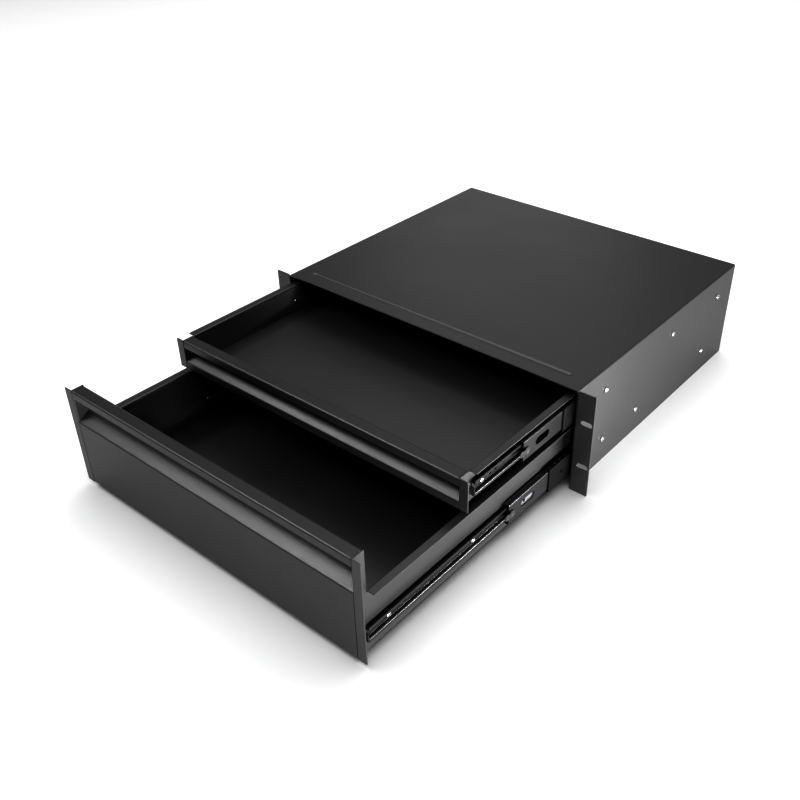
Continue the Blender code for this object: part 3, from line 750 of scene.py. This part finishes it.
screw_zinc = zinc_plate("zinc_screw_plate", (0.62, 0.63, 0.64), 0.24, 420.0)
case_screw = screw("case_screw_pattern", case_head_radius, case_head_height, case_shank_radius,
                   case_shank_length)
member_screw = screw("member_screw_pattern", member_head_radius, member_head_height, member_shank_radius,
                     member_shank_length)
for level, label, side in slide_places:
    for kind, count, body, pattern_screw, head_height in (
            ("case", 3, "case", case_screw, case_head_height),
            ("member", 2, level + "_drawer", member_screw, member_head_height)):
        nodes = [f"{level}_{label}_{kind}_screw_{number}" for number in range(1, count + 1)]
        seats = []
        for node in nodes:
            front, back, near, far, centre, half_height = extent(node)
            seats.append((side * (far - head_height), (front + back) / 2, centre))
        item = made_by(f"{level}_{label}_{kind}_screws", screw_tree, seats,
                       {"Screw": pattern_screw, "Side": (side, 0, 0), "Seed": len(seats) + side,
                        "Finish": screw_zinc})
        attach(item, body)
        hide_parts(*nodes)
for pattern_screw in (case_screw, member_screw):
    bpy.data.objects.remove(pattern_screw)

# Slide stops: a moulded black nylon stop snapped into the front end of each middle channel, two round
# pads with a bridge between them.
pad_round = 0.0004
pad_step_down = 0.0005
bridge_height = 0.0054
bridge_thickness_share = 0.7
dish_rim_share, dish_floor_share = 0.55, 0.42

stop_nylon, tree, shader = new_finish("black_nylon")
spark = noise(tree, 3000.0)
vary_colour(tree, shader, spark, (0.014, 0.014, 0.015), (0.022, 0.022, 0.023))
bump(tree, shader, spark, 0.3, 0.00003)
shader.inputs["Roughness"].default_value = 0.6
shader.inputs["Specular IOR Level"].default_value = 0.3

for level, label, side in slide_places:
    node = f"{level}_{label}_slide_bumper"
    low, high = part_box(node)
    thickness = high.x - low.x
    half = thickness / 2
    middle_x, middle_y, centre = (low + high) / 2
    rear_radius = (high.z - low.z) / 2
    front_radius = rear_radius - pad_step_down
    shape = bmesh.new()
    for y, radius in ((high.y - rear_radius, rear_radius), (low.y + front_radius, front_radius)):
        profile = [(-half, 0), (-half, radius - pad_round), (pad_round - half, radius),
                   (half - pad_round, radius), (half, radius - pad_round), (half, radius * dish_rim_share),
                   (half - pad_round, radius * dish_floor_share), (half - pad_round, 0)]
        pad = lathe([(side * x, r) for x, r in profile], 28)
        bmesh.ops.translate(pad, vec=(middle_x, y, centre), verts=pad.verts)
        shape.from_mesh(mesh_of(pad, "pad"))
    bridge = bmesh.ops.create_cube(shape, size=1.0)["verts"]
    bridge_length = high.y - low.y - rear_radius - front_radius
    bridge_size = (thickness * bridge_thickness_share, bridge_length, bridge_height)
    bmesh.ops.scale(shape, vec=bridge_size, verts=bridge)
    bmesh.ops.translate(shape, vec=(middle_x, middle_y, centre), verts=bridge)
    mesh = mesh_of(shape, node + "_moulding")
    mesh.materials.append(stop_nylon)
    mesh.shade_smooth()
    mesh.set_sharp_from_angle(angle=math.radians(35))
    item = placed(node + "_moulding", mesh)
    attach(item, f"{level}_{label}_middle")
    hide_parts(node)
